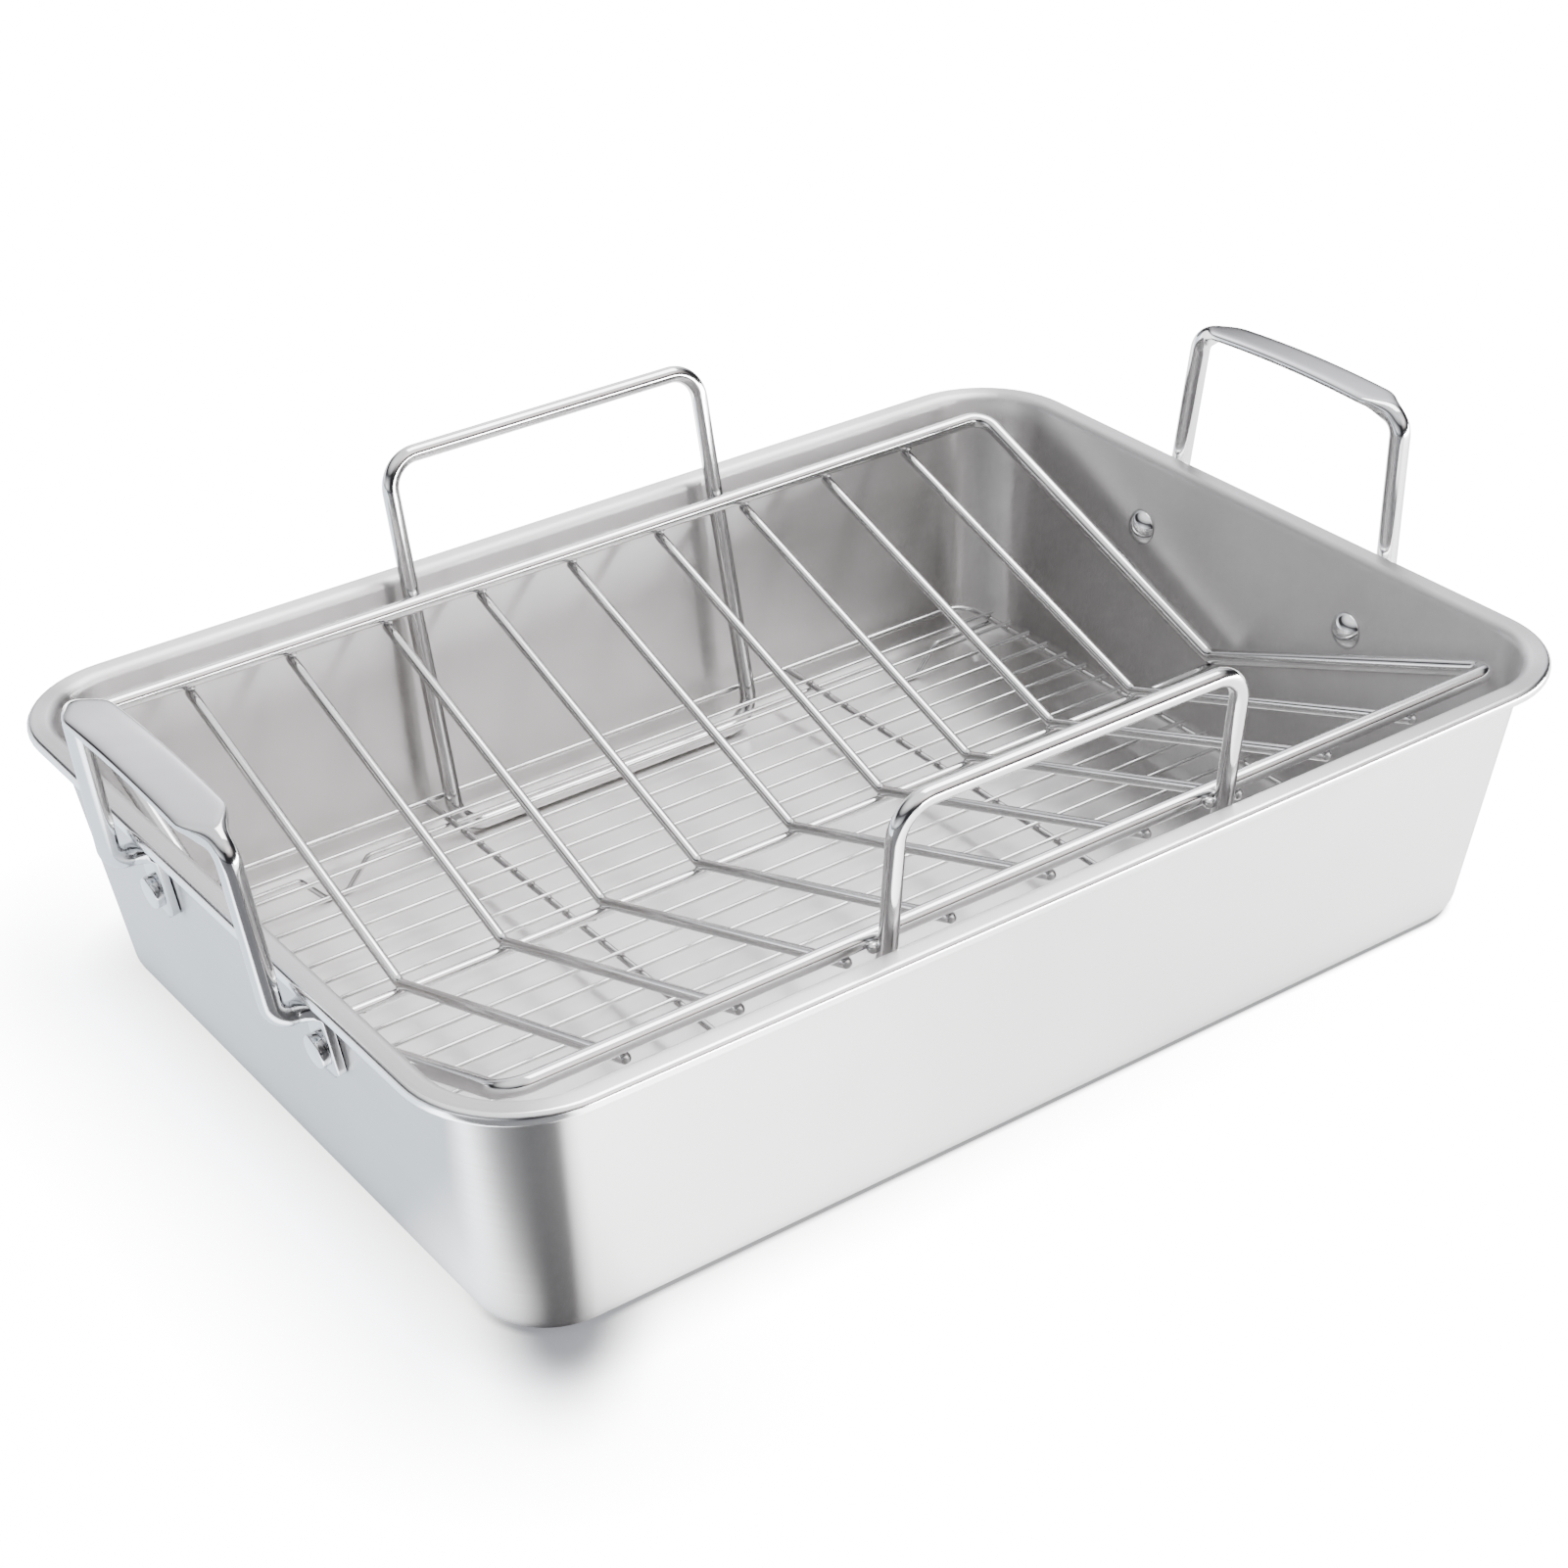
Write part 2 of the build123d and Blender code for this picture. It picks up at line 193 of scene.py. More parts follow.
def skinRings(rings, closed=False, startPole=None, endPole=None):
    # quads between rings, with a fan to a pole at either end; U runs along, V runs round, both in metres
    points = [point for ring in rings for point in ring]
    faces = []
    uvs = []
    around = len(rings[0])
    along = [0.0]
    for ring, following in zip(rings, rings[1:]):
        along.append(along[-1] + (sum(following, Vector()) - sum(ring, Vector())).length / around)
    widest = max(sum((ring[i] - ring[i - 1]).length for i in range(around)) for ring in rings)
    pairs = [(i, i + 1) for i in range(len(rings) - 1)]
    if closed:
        pairs.append((len(rings) - 1, 0))
    for first, second in pairs:
        uA = along[first] * mm
        uB = along[second] * mm if second else uA + 2 * mm
        for k in range(around):
            n = (k + 1) % around
            faces.append([first * around + k, first * around + n, second * around + n, second * around + k])
            vA = widest * k / around * mm
            vB = widest * (k + 1) / around * mm
            uvs.append([(uA, vA), (uA, vB), (uB, vB), (uB, vA)])
    for pole, base, flip in ((startPole, 0, True), (endPole, (len(rings) - 1) * around, False)):
        if pole is None:
            continue
        tip = len(points)
        points.append(pole)
        u = along[0 if flip else -1] * mm
        for k in range(around):
            n = (k + 1) % around
            corners = [base + n, base + k, tip] if flip else [base + k, base + n, tip]
            faces.append(corners)
            v = widest * k / around * mm
            uvs.append([(u, v), (u, v), (u, v)])
    return points, faces, uvs


def bendPath(corners, radii, arcStep=9.0, closed=False):
    # straight runs joined by tangent arcs, as bent wire has
    corners = [Vector(c) for c in corners]
    count = len(corners)
    if not isinstance(radii, (list, tuple)):
        radii = [radii] * count
    path = []
    for i, corner in enumerate(corners):
        if not closed and i in (0, count - 1):
            path.append(corner)
            continue
        before = (corners[i - 1] - corner).normalized()
        after = (corners[(i + 1) % count] - corner).normalized()
        turn = math.pi - before.angle(after)
        reach = radii[i] * math.tan(turn / 2)
        centre = corner + (before + after).normalized() * (radii[i] / math.cos(turn / 2))
        start = corner + before * reach - centre
        axis = start.cross(corner + after * reach - centre).normalized()
        steps = max(2, round(math.degrees(turn) / arcStep))
        for step in range(steps + 1):
            path.append(centre + Matrix.Rotation(turn * step / steps, 3, axis) @ start)
    return path


def splitRuns(path, longest, closed=False):
    # no run of the path is longer than this, so a bend of the section has rings to follow
    ends = path + [path[0]] if closed else path
    out = []
    for a, b in zip(ends, ends[1:]):
        parts = max(1, math.ceil((b - a).length / longest))
        out += [a.lerp(b, i / parts) for i in range(parts)]
    return out if closed else out + [ends[-1]]


def tangents(path, closed=False):
    count = len(path)
    found = []
    for i in range(count):
        before = path[i - 1] if (closed or i) else path[0]
        after = path[(i + 1) % count] if (closed or i < count - 1) else path[-1]
        found.append((after - before).normalized())
    return found


def circle(centre, side, other, radius, steps):
    turns = [2 * math.pi * k / steps for k in range(steps)]
    return [centre + (side * math.cos(t) + other * math.sin(t)) * radius for t in turns]


def wireRings(path, radius, sides, closed=False, firstSide=Vector((0, 0, 1))):
    # round rings carried along the path without twisting
    heads = tangents(path, closed)
    side = (firstSide - heads[0] * firstSide.dot(heads[0])).normalized()
    rings = []
    for i, (centre, head) in enumerate(zip(path, heads)):
        if i:
            side = (side - head * side.dot(head)).normalized()
        rings.append(circle(centre, side, head.cross(side), radius, sides))
    return rings, heads


# (push out, size) of the rings past a wire's end, as shares of its radius, and how far out the tip lies
wireEnds = {
    "ball": ([(math.sin(math.radians(a)), math.cos(math.radians(a))) for a in (18, 36, 54, 72)], 1.0),
    "cut": ([(0.10, 0.97), (0.17, 0.86)], 0.17),
}


def wire(name, path, diameter, material, sides=20, closed=False, ends="cut", firstSide=Vector((0, 0, 1))):
    radius = diameter / 2
    rings, heads = wireRings(path, radius, sides, closed, firstSide)
    if closed:
        return makePiece(name, *skinRings(rings, closed=True), material)
    shrinks, tip = wireEnds[ends]
    first = []
    last = []
    for push, size in shrinks:
        first.insert(0, [path[0] + (p - path[0]) * size - heads[0] * push * radius for p in rings[0]])
        last.append([path[-1] + (p - path[-1]) * size + heads[-1] * push * radius for p in rings[-1]])
    startPole = path[0] - heads[0] * tip * radius
    endPole = path[-1] + heads[-1] * tip * radius
    return makePiece(name, *skinRings(first + rings + last, False, startPole, endPole), material)


def turned(profile, centre, axis, steps=40):
    # a lathe shape: (height along the axis, radius) pairs, the first and last on the axis
    axis = Vector(axis).normalized()
    side = axis.orthogonal().normalized()
    other = axis.cross(side)
    rings = [circle(centre + axis * height, side, other, radius, steps) for height, radius in profile[1:-1]]
    return skinRings(rings, False, centre + axis * profile[0][0], centre + axis * profile[-1][0])


def joined(name, parts, material):
    points = []
    faces = []
    uvs = []
    for partPoints, partFaces, partUvs in parts:
        start = len(points)
        points += partPoints
        faces += [[index + start for index in face] for face in partFaces]
        uvs += partUvs
    return makePiece(name, points, faces, uvs, material)


def roundedCorners(points, radii, steps):
    # a flat open outline with arcs at its corners
    raised = [(x, z, 0) for x, z in points]
    path = [Vector(raised[0])]
    for i in range(1, len(points) - 1):
        if radii[i]:
            turn = 180 - math.degrees((Vector(raised[i - 1]) - Vector(raised[i])).angle(
                Vector(raised[i + 1]) - Vector(raised[i])))
            path += bendPath(raised[i - 1:i + 2], [0, radii[i], 0], turn / steps)[1:-1]
        else:
            path.append(Vector(raised[i]))
    path.append(Vector(raised[-1]))
    return [(p.x, p.y) for p in path]


# Pan body: one drawn sheet, skinned as rings from the floor inside, over the rim, to the underside

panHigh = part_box("pan_body")[1]
pan = {
    "halfLength": panHigh.x / mm, "halfWidth": panHigh.y / mm, "height": panHigh.z / mm,
    "rimCorner": 37.0, "sheet": 1.0, "overhang": 8.0, "rimDepth": 4.4, "rimRoll": 2.4,
    "hemWidth": 3.2, "hemRoll": 1.0, "lean": 12.5, "baseCorner": 24.0, "floorRadius": 7.0,
    "hemCorner": 0.25, "floorBand": 24.0, "ringRun": 12.0, "arcSteps": 14, "longSteps": 26, "shortSteps": 18,
    "leastCorner": 2.0, "profileSteps": 8, "brightFrom": 0.2,
}
pan["wallTop"] = pan["height"] - pan["rimDepth"]
pan["slope"] = pan["lean"] / pan["wallTop"]


def wallX(z):
    # outer face of a short wall at a height
    return pan["halfLength"] - pan["overhang"] - (pan["wallTop"] - z) * pan["slope"]


def panRing(inset, z):
    # rounded rectangle at a distance in from the rim's edge
    height = min(z, pan["wallTop"])
    outer = pan["overhang"] + (pan["wallTop"] - height) * pan["slope"]
    top = pan["rimCorner"] - pan["overhang"]
    corner = pan["baseCorner"] + (top - pan["baseCorner"]) * height / pan["wallTop"] - (inset - outer)
    corner = max(corner, pan["leastCorner"])
    halfX = pan["halfLength"] - inset
    halfY = pan["halfWidth"] - inset
    ring = []
    sides = (
        ((halfX - corner, -halfY + corner), -90, pan["shortSteps"]),
        ((halfX - corner, halfY - corner), 0, pan["longSteps"]),
        ((-halfX + corner, halfY - corner), 90, pan["shortSteps"]),
        ((-halfX + corner, -halfY + corner), 180, pan["longSteps"]),
    )
    for i, ((cx, cy), start, straight) in enumerate(sides):
        for step in range(pan["arcSteps"] + 1):
            turn = math.radians(start + 90 * step / pan["arcSteps"])
            ring.append(Vector((cx + corner * math.cos(turn), cy + corner * math.sin(turn), z)))
        (nextX, nextY), nextStart, _ = sides[(i + 1) % 4]
        turn = math.radians(nextStart)
        goal = Vector((nextX + corner * math.cos(turn), nextY + corner * math.sin(turn), z))
        last = ring[-1]
        ring += [last.lerp(goal, k / straight) for k in range(1, straight)]
    return ring


def buildPan():
    slope = pan["slope"]
    sheet = pan["sheet"]
    top = pan["height"]
    wallWide = sheet * math.hypot(1, slope)
    baseInset = pan["overhang"] + pan["lean"]
    floorInset = baseInset + wallWide - sheet * slope
    flangeInner = pan["overhang"] + wallWide - slope * pan["rimDepth"]
    flangeFoot = pan["overhang"] - slope * (pan["rimDepth"] - sheet)
    rollOut = pan["hemRoll"] + sheet
    band = pan["floorBand"]
    outline = (
        ((floorInset + band, sheet), 0),
        ((floorInset, sheet), pan["floorRadius"] - sheet),
        ((flangeInner, top), pan["rimRoll"] + sheet),
        ((0, top), rollOut),
        ((0, pan["wallTop"]), rollOut),
        ((pan["hemWidth"], pan["wallTop"]), pan["hemCorner"]),
        ((pan["hemWidth"], pan["wallTop"] + sheet), pan["hemCorner"]),
        ((sheet, pan["wallTop"] + sheet), pan["hemRoll"]),
        ((sheet, top - sheet), pan["hemRoll"]),
        ((flangeFoot, top - sheet), pan["rimRoll"]),
        ((baseInset, 0), pan["floorRadius"]),
        ((baseInset + band, 0), 0),
    )
    profile = roundedCorners([p for p, _ in outline], [r for _, r in outline], pan["profileSteps"])
    rounded = []
    for (inA, zA), (inB, zB) in zip(profile, profile[1:]):
        # the long wall runs get rings between, so slow bends and textures have points to follow
        parts = max(1, round(math.dist((inA, zA), (inB, zB)) / pan["ringRun"]))
        rounded += [(inA + (inB - inA) * i / parts, zA + (zB - zA) * i / parts) for i in range(parts)]
    rounded.append(profile[-1])
    rings = [panRing(inset, z) for inset, z in rounded]
    points = [p for ring in rings for p in ring]
    around = len(rings[0])
    faces = []
    uvs = []
    along = 0.0
    perimeter = [0.0]
    for k in range(around):
        perimeter.append(perimeter[-1] + (rings[0][(k + 1) % around] - rings[0][k]).length * mm)
    for i in range(len(rings) - 1):
        step = math.dist(rounded[i], rounded[i + 1]) * mm
        for k in range(around):
            n = (k + 1) % around
            faces.append([i * around + k, i * around + n, (i + 1) * around + n, (i + 1) * around + k])
            uvs.append([(perimeter[k], along), (perimeter[k + 1], along),
                        (perimeter[k + 1], along + step), (perimeter[k], along + step)])
        along += step
    inside = list(range(around - 1, -1, -1))
    outside = [(len(rings) - 1) * around + k for k in range(around)]
    for floor in (inside, outside):
        faces.append(floor)
        uvs.append([(points[k].x * mm, points[k].y * mm) for k in floor])
    piece = makePiece("panBody", points, [list(reversed(face)) for face in faces],
                      [list(reversed(uv)) for uv in uvs], satinSteel)
    # the rolled edge gets a brighter, smoother steel than the flange: a painted highlight along the rim
    piece.data.materials.append(rimHighlightSteel)
    bright = [inA + inB < 2 * pan["hemRoll"] + sheet and zA > pan["wallTop"] + pan["brightFrom"]
              for (inA, zA), (inB, zB) in zip(rounded, rounded[1:])]
    for polygon in piece.data.polygons:
        ring = polygon.index // around
        if ring < len(bright) and bright[ring]:
            polygon.material_index = 1
    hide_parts("pan_body")
    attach(piece, "pan")


buildPan()
print("pan body done")


# Handles: one rod, flattened into tabs below and forged flat at the grip

handle = {
    "rod": 7.0, "legLow": 209.7, "legTop": 215.7, "lowY": 51.5, "topY": 48.0, "hookZ": 80.4, "gripZ": 136.5,
    "tabWidth": 12.4, "tabThick": 3.4, "tabLowZ": 57.1, "gripWidth": 15.4, "gripThick": 3.6, "gripArch": 2.0,
    "tabBend": 3.4, "hookBend": 6.0, "topBend": 7.0, "gripFlat": 34.0, "gripEnd": 46.0,
    "tabGap": 0.03, "arcStep": 7.5, "ringRun": 2.0, "turnFrom": 6.0, "turnOver": 30.0, "gripDrop": 14.0,
    "thickEase": 1.15, "squareEase": 1.3, "gripSquare": 3.0, "gripHollow": 0.55,
    "foldReach": 7.0, "foldBack": 1.0, "foldDrop": 8.0, "tabSquare": 5.0, "tabEnd": 2.4, "tabNarrow": 4.6,
}


def ease(value):
    value = min(1.0, max(0.0, value))
    return value * value * (3 - 2 * value)


def rodSection(width, thick, power, hollow, steps=36):
    # (across, up) pairs round the rod: a circle at power 2, squarer above, thinned below towards its edges
    section = []
    for step in range(steps):
        turn = 2 * math.pi * (step + 0.5) / steps
        a = width / 2 * math.copysign(abs(math.cos(turn)) ** (2 / power), math.cos(turn))
        b = thick / 2 * math.copysign(abs(math.sin(turn)) ** (2 / power), math.sin(turn))
        if b < 0:
            b *= 1 - hollow * (2 * a / width) ** 2
        section.append((a, b))
    return section


def buildHandle(side, name, node):
    rod = handle["rod"]
    half = handle["tabThick"] / 2 + handle["tabGap"]
    low = Vector((wallX(handle["tabLowZ"]) + half, handle["lowY"], handle["tabLowZ"]))
    hook = Vector((wallX(handle["hookZ"]) + half, handle["lowY"], handle["hookZ"]))
    legLow = Vector((handle["legLow"], handle["lowY"], handle["hookZ"]))
    legTop = Vector((handle["legTop"], handle["topY"], handle["gripZ"]))
    middle = Vector((handle["legTop"], 0, handle["gripZ"]))
    path = bendPath([low, hook, legLow, legTop, middle],
                    [0, handle["tabBend"], handle["hookBend"], handle["topBend"], 0], handle["arcStep"])
    path = splitRuns(path, handle["ringRun"])
    mirrored = [Vector((p.x, -p.y, p.z)) for p in reversed(path[:-1])]
    path = path + mirrored
    heads = tangents(path)
    lean = (legTop - legLow).normalized()
    gripAcross = Vector((1, 0, 0)) - lean * lean.x
    gripAcross.normalize()
    rings = []
    for point, head in zip(path, heads):
        climb = ease((point.z - handle["hookZ"] - handle["turnFrom"]) / handle["turnOver"])
        across = Vector((0, -1 if point.y > 0 else 1, 0)).lerp(gripAcross, climb)
        across = (across - head * across.dot(head)).normalized()
        up = head.cross(across)
        width = rod
        thick = rod
        power = 2.0
        hollow = 0.0
        lift = 0.0
        if point.z > handle["gripZ"] - handle["gripDrop"] and abs(point.y) < handle["topY"]:
            flat = 1 - ease((abs(point.y) - handle["gripFlat"]) / (handle["gripEnd"] - handle["gripFlat"]))
            width = rod + (handle["gripWidth"] - rod) * flat
            thick = rod + (handle["gripThick"] - rod) * ease(flat * handle["thickEase"])
            power = 2 + handle["gripSquare"] * ease(flat * handle["squareEase"])
            hollow = handle["gripHollow"] * flat
            reach = min(1.0, abs(point.y) / handle["gripEnd"])
            lift = handle["gripArch"] * (1 - reach ** 2) + (rod - thick) / 2
        elif point.x < hook.x + handle["foldReach"] and point.z < handle["hookZ"] + 1:
            fold = 0.0
            if point.z > handle["hookZ"] - handle["foldDrop"]:
                fold = ease((point.x - hook.x + handle["foldBack"]) / handle["foldReach"])
            width = handle["tabWidth"] + (rod - handle["tabWidth"]) * fold
            thick = handle["tabThick"] + (rod - handle["tabThick"]) * fold
            power = 2 + handle["tabSquare"] * (1 - fold)
            end = min(1.0, (point.z - handle["tabLowZ"]) / handle["tabEnd"])
            width -= handle["tabNarrow"] * (1 - math.sqrt(max(0.0, 1 - (1 - end) ** 2)))
        centre = point + Vector((0, 0, lift))
        rings.append([centre + across * a + up * b for a, b in rodSection(width, thick, power, hollow)])
    if side < 0:
        rings = [[Vector((-p.x, p.y, p.z)) for p in reversed(ring)] for ring in rings]
        path = [Vector((-p.x, p.y, p.z)) for p in path]
    parts = skinRings(rings, False, path[0], path[-1])
    piece = makePiece(name, *parts, forgedSteel)
    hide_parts(node)
    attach(piece, "pan")


buildHandle(1, "rightHandle", "right_handle")
buildHandle(-1, "leftHandle", "left_handle")
print("handles done")


# Rivets: mirror-polished domes inside, thick buttons outside

rivet = {
    "y": 51.5, "z": 66.0, "shank": 2.5, "headRadius": 6.5, "dome": 3.8, "domeSteps": 9, "buttonRadius": 5.3,
    "button": 2.9, "edge": 0.8, "edgeAngles": (0, 15, 30, 45, 60, 75, 90),
    "crown": 0.12, "crownFlat": (0.1, 2.6),
    "domeLip": ((-0.12, 0.03), (0.03, 0.1)), "buttonLip": ((0.02, 0.08), (0.2, 0.0)),
}


def buildRivets():
    sheet = pan["sheet"]
    sphere = (rivet["headRadius"] ** 2 + rivet["dome"] ** 2) / (2 * rivet["dome"])
    reach = math.asin(rivet["headRadius"] / sphere)
    turns = [reach * i / rivet["domeSteps"] for i in range(rivet["domeSteps"])]
    dome = [(-sheet - rivet["dome"] + sphere * (1 - math.cos(a)), sphere * math.sin(a)) for a in turns]
    under = handle["tabThick"]
    top = under + rivet["button"]
    edge = rivet["edge"]
    roll = [(top - edge + edge * math.sin(a), rivet["buttonRadius"] - edge + edge * math.cos(a))
            for a in [math.radians(angle) for angle in rivet["edgeAngles"]]]
    domeLip = [(up - sheet, rivet["headRadius"] - less) for up, less in rivet["domeLip"]]
    buttonLip = [(up + under, rivet["buttonRadius"] - less) for up, less in rivet["buttonLip"]]
    shank = [(domeLip[-1][0], rivet["shank"]), (buttonLip[0][0], rivet["shank"])]
    crownUp, crownRadius = rivet["crownFlat"]
    crown = [(top + crownUp, crownRadius), (top + rivet["crown"], 0)]
    profile = dome + domeLip + shank + buttonLip + roll + crown
    parts = []
    for side in (-1, 1):
        for row in (-1, 1):
            centre = Vector((side * wallX(rivet["z"]), row * rivet["y"], rivet["z"]))
            parts.append(turned(profile, centre, (side, 0, -pan["slope"])))
    piece = joined("handleRivets", parts, polishedRivet)
    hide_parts("handle_rivets")
    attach(piece, "pan")


buildRivets()
print("rivets done")


# Rows of like pieces are laid out by one Geometry Nodes tree

def rowTree():
    tree = bpy.data.node_groups.new("wireGrid", "GeometryNodeTree")
    wanted = (
        ("Geometry", "Geometry"), ("Rows", "Int"), ("Columns", "Int"), ("Row Pitch", "Vector"),
        ("Column Pitch", "Vector"), ("Start", "Vector"), ("Jitter", "Vector"), ("Seed", "Int"),
        ("Finish", "Material"),
    )
    for name, kind in wanted:
        tree.interface.new_socket(name, in_out="INPUT", socket_type="NodeSocket" + kind)
    tree.interface.new_socket("Geometry", in_out="OUTPUT", socket_type="NodeSocketGeometry")
    source = addNode(tree, "NodeGroupInput")
    result = addNode(tree, "NodeGroupOutput")
    line = addNode(tree, "GeometryNodeMeshLine", mode="OFFSET")
    cross = addNode(tree, "GeometryNodeMeshLine", mode="OFFSET")
    spread = addNode(tree, "GeometryNodeInstanceOnPoints")
    loose = addNode(tree, "GeometryNodeRealizeInstances")
    place = addNode(tree, "GeometryNodeInstanceOnPoints")
    random = addNode(tree, "FunctionNodeRandomValue", data_type="FLOAT_VECTOR")
    lower = addNode(tree, "ShaderNodeVectorMath", operation="SCALE", Scale=-1.0)
    shift = addNode(tree, "GeometryNodeSetPosition")
    realize = addNode(tree, "GeometryNodeRealizeInstances")
    finish = addNode(tree, "GeometryNodeSetMaterial")
    link = tree.links.new
    link(source.outputs["Rows"], line.inputs["Count"])
    link(source.outputs["Row Pitch"], line.inputs["Offset"])
    link(source.outputs["Start"], line.inputs["Start Location"])
    link(source.outputs["Columns"], cross.inputs["Count"])
    link(source.outputs["Column Pitch"], cross.inputs["Offset"])
    link(line.outputs["Mesh"], spread.inputs["Points"])
    link(cross.outputs["Mesh"], spread.inputs["Instance"])
    link(spread.outputs["Instances"], loose.inputs["Geometry"])
    link(source.outputs["Jitter"], random.inputs["Max"])
    link(source.outputs["Jitter"], lower.inputs["Vector"])
    link(lower.outputs["Vector"], random.inputs["Min"])
    link(source.outputs["Seed"], random.inputs["Seed"])
    link(loose.outputs["Geometry"], shift.inputs["Geometry"])
    link(random.outputs["Value"], shift.inputs["Offset"])
    link(shift.outputs["Geometry"], place.inputs["Points"])
    link(source.outputs["Geometry"], place.inputs["Instance"])
    link(place.outputs["Instances"], realize.inputs["Geometry"])
    link(realize.outputs["Geometry"], finish.inputs["Geometry"])
    link(source.outputs["Finish"], finish.inputs["Material"])
    link(finish.outputs["Geometry"], result.inputs["Geometry"])
    return tree


wireGrid = rowTree()


def layOut(pattern, name, material, rows, rowPitch, columns=1, columnPitch=(0, 0, 0), start=(0, 0, 0),
           jitter=(0, 0, 0), seed=3):
    # the pattern piece becomes one plain mesh of all its copies
    wanted = {
        "Rows": rows, "Columns": columns, "Row Pitch": [v * mm for v in rowPitch],
        "Column Pitch": [v * mm for v in columnPitch], "Start": [v * mm for v in start],
        "Jitter": [v * mm for v in jitter], "Seed": seed, "Finish": material,
    }
    modifier = pattern.modifiers.new("wireGrid", "NODES")
    modifier.node_group = wireGrid
    for item in wireGrid.interface.items_tree:
        if item.in_out == "INPUT" and item.name in wanted:
            modifier[item.identifier] = wanted[item.name]
    graph = bpy.context.evaluated_depsgraph_get()
    mesh = bpy.data.meshes.new_from_object(pattern.evaluated_get(graph))
    piece = bpy.data.objects.new(name, mesh)
    bpy.context.scene.collection.objects.link(piece)
    pattern.modifiers.remove(modifier)
    bpy.data.objects.remove(pattern)
    return piece


# V rack

vRack = {
    "railWire": 5.6, "ribWire": 3.6, "loopWire": 5.8, "halfLength": 181.5, "railY": 127.2, "railZ": 87.4,
    "shift": -0.9, "ribLow": 37.8, "railBend": 8.0, "ribBend": 6.0, "pitch": 36.3, "ribs": 9, "overrun": 0.3,
    "loopHalf": 62.0, "loopSkew": 1.3, "loopTop": 133.5, "loopLean": 12.2, "headLeans": (6.4, 11.5),
    "loopBend": 11.0, "gap": 0.05, "floorGap": 0.3, "spineEnd": 2.5, "ribSlip": (0.12, 0, 0), "ribSeed": 5,
    "railSides": 28, "railArc": 6, "railRun": 12, "ribSides": 22, "ribArc": 4, "ribRun": 10, "loopRun": 8,
}
# weld beads: length, width and height, then how far each strays and its seed
welds = {
    "loop": ((4.4, 3.4, 3.6), (0, 0, 0), 3), "rib": ((3.0, 3.2, 1.3), (0.2, 0.2, 0), 8),
    "spine": ((3.2, 3.0, 1.2), (0.2, 0.1, 0), 9), "grid": ((2.2, 1.5, 1.0), (0.2, 0.1, 0), 6),
    "loopAside": 3.3, "loopOut": 0.9, "loopDown": 1.0, "ribIn": 0.9, "ribUp": 0.1,
    "profile": ((-0.5, 0), (-0.42, 0.27), (-0.2, 0.46), (0.2, 0.46), (0.42, 0.27), (0.5, 0)), "sides": 8,
}


def nub(name, length, width, height, material):
    # a small weld bead, squashed and with a few dozen faces
    points, faces, uvs = turned(welds["profile"], Vector((0, 0, 0)), (1, 0, 0), welds["sides"])
    points = [Vector((p.x * length, p.y * width, p.z * height)) for p in points]
    return makePiece(name, points, faces, uvs, material)


def weldRow(kind, name, material, rows, rowPitch, columns=1, columnPitch=(0, 0, 0), start=(0, 0, 0)):
    size, jitter, seed = welds[kind]
    bead = nub(name + "Pattern", *size, material)
    return layOut(bead, name, material, rows, rowPitch, columns, columnPitch, start, jitter, seed)


